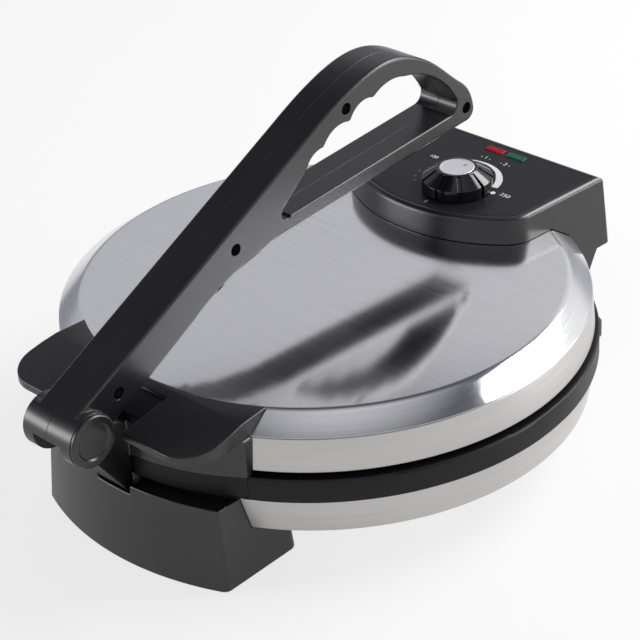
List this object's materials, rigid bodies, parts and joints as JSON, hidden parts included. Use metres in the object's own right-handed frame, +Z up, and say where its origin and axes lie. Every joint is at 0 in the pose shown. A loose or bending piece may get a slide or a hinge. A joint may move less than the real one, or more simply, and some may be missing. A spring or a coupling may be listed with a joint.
{
  "type": "electric roti maker",
  "caption": "Round electric flatbread press: heated plates under a steel lid hinged at the back, folding press arm in front, thermostat knob and lamps on a rear control box.",
  "frame": {"origin": "on the surface it stands on, in the middle of the whole object's width and length", "axes": "+X to the user's right, +Y from the front arm towards the lid's hinge, +Z up"},
  "size_m": [0.308, 0.3796, 0.2143],
  "materials": {
    "top_steel": "brushed, straight grain across the lid",
    "side_steel": "satin, rolled",
    "base_steel": "satin, rolled",
    "shell_plastic": "black moulding, gloss",
    "ring_plastic": "black moulding, satin",
    "panel_film": "satin printed panel",
    "plate_coating": "cast, dark non-stick coating",
    "element_steel": "oxidised tube",
    "inner_steel": "zinc-plated sheet",
    "pin_steel": "ground",
    "screw_steel": "zinc-plated",
    "block_ceramic": "unglazed ceramic",
    "fuse_case": "bright",
    "pad_rubber": "matt",
    "red_lens": "clear red",
    "green_lens": "clear green",
    "lamp_glass": "clear",
    "knob_plastic": "black, polished shoulder",
    "disc_metal": "spun face",
    "bush_nylon": "natural nylon"
  },
  "bodies": {
    "base": {"base_band": "base_steel", "bottom_cover": "inner_steel", "base_ring": "ring_plastic", "lower_plate": "plate_coating", "lower_element": "element_steel", "lower_heat_shield": "inner_steel", "lower_plate_posts": "inner_steel", "terminal_block": "block_ceramic", "thermal_fuse": "fuse_case", "front_foot": "shell_plastic", "rear_foot": "shell_plastic", "cord_gland": "pad_rubber", "foot_pads": "pad_rubber", "foot_screws": "screw_steel", "hinge_pin": "pin_steel", "hinge_clips": "screw_steel"},
    "lid": {"lid_cover": "top_steel", "lid_side_band": "side_steel", "lid_rim": "ring_plastic", "upper_plate": "plate_coating", "upper_element": "element_steel", "upper_heat_shield": "inner_steel", "upper_plate_posts": "inner_steel", "lid_bracket": "shell_plastic", "arm_pin": "pin_steel", "control_box": "shell_plastic", "control_panel": "panel_film", "power_lens": "red_lens", "ready_lens": "green_lens", "neon_lamps": "lamp_glass", "thermostat": "block_ceramic", "bush_nut": "screw_steel", "hinge_bushes": "bush_nylon", "box_screws": "screw_steel", "bracket_screws": "screw_steel"},
    "arm": {"arm_left_half": "shell_plastic", "arm_right_half": "shell_plastic", "arm_screws": "screw_steel", "barrel_cap_left": "shell_plastic", "barrel_cap_right": "shell_plastic"},
    "knob": {"knob": "knob_plastic", "knob_disc": "disc_metal", "thermostat_shaft": "pin_steel"}
  },
  "joints": [
    {"name": "lid_hinge", "type": "hinge", "parent": "base", "child": "lid", "pos_m": [0, 0.17725, 0.058], "axis": [-1, 0, 0], "range_deg": [0, 95]},
    {"name": "arm_fold", "type": "hinge", "parent": "lid", "child": "arm", "pos_m": [0, -0.17475, 0.0935], "axis": [1, 0, 0], "range_deg": [0, 75]},
    {"name": "knob_turn", "type": "hinge", "parent": "lid", "child": "knob", "pos_m": [0.0115, 0.11945, 0.113], "axis": [0, 0, 1], "range_deg": [0, 270]}
  ]
}
